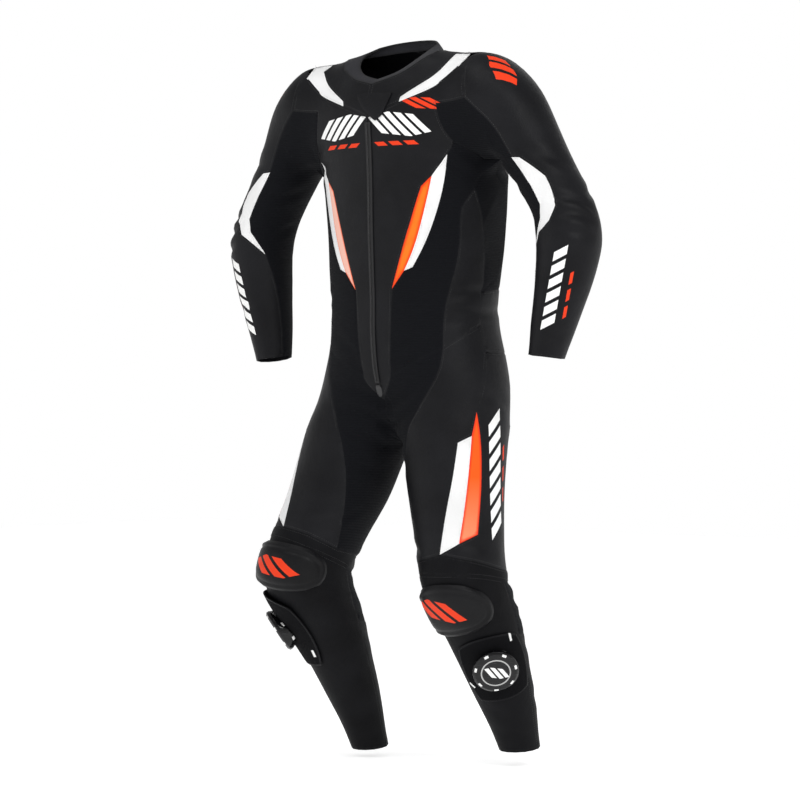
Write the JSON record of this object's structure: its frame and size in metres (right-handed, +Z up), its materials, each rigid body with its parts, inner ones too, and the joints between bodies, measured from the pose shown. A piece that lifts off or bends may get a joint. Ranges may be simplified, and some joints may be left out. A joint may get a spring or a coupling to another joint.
{
  "type": "motorcycle race suit",
  "caption": "One-piece leather race suit filled out as worn: stretch panels, striped sides and sleeves, short collar, front zip, knee pads and knee sliders.",
  "frame": {"origin": "between the shoulders at the base of the neck, 68 mm below the back of the collar, on the plane between left and right", "axes": "+Z up the wearer, the longest side; the front faces -Y; +X is the wearer's left, along the outstretched sleeves"},
  "size_m": [0.9132, 0.4131, 1.4378],
  "materials": {
    "leather": "black smooth grain leather, semi-gloss",
    "white_leather": "white smooth leather, semi-gloss",
    "orange_leather": "orange smooth leather, semi-gloss",
    "stretch": "black ribbed stretch cloth, matt",
    "soft_band": "light grey soft collar binding, matt",
    "zip": "black zip",
    "pad": "black padded leather",
    "hook_and_loop": "black hook-and-loop cloth, matt",
    "slider": "black moulded plastic, glossy"
  },
  "bodies": {
    "root": {"collar_band": "soft_band", "neck_flap": "leather", "front_zip": "zip", "zip_tab": "zip", "back_upper": "leather", "lumbar_stretch": "stretch", "yoke_L": "leather", "yoke_R": "leather", "shoulder_stripe_L": "white_leather", "shoulder_stripe_R": "white_leather", "front_leather_L": "leather", "front_leather_R": "leather", "torso_white_L": "white_leather", "torso_white_R": "white_leather", "torso_orange_L": "orange_leather", "torso_orange_R": "orange_leather", "belly_stretch_L": "stretch", "belly_stretch_R": "stretch", "side_stretch_L": "stretch", "side_stretch_R": "stretch", "flank_leather_L": "leather", "flank_leather_R": "leather", "seat_L": "leather", "seat_R": "leather", "hip_side_L": "leather", "hip_side_R": "leather", "crotch_stretch_L": "stretch", "crotch_stretch_R": "stretch", "sleeve_outer_L": "leather", "sleeve_outer_R": "leather", "sleeve_inner_L": "stretch", "sleeve_inner_R": "stretch", "elbow_stripe_L": "white_leather", "elbow_stripe_R": "white_leather", "thigh_front_L": "leather", "thigh_front_R": "leather", "thigh_side_L": "leather", "thigh_side_R": "leather", "thigh_white_L": "white_leather", "thigh_white_R": "white_leather", "thigh_orange_L": "orange_leather", "thigh_orange_R": "orange_leather", "thigh_back_L": "leather", "thigh_back_R": "leather", "knee_band_L": "leather", "knee_band_R": "leather", "knee_back_L": "stretch", "knee_back_R": "stretch", "shin_L": "leather", "shin_R": "leather", "calf_L": "leather", "calf_R": "leather", "knee_pad_L": "pad", "knee_pad_R": "pad", "slider_patch_L": "hook_and_loop", "slider_patch_R": "hook_and_loop", "knee_slider_L": "slider", "knee_slider_R": "slider"}
  },
  "joints": []
}
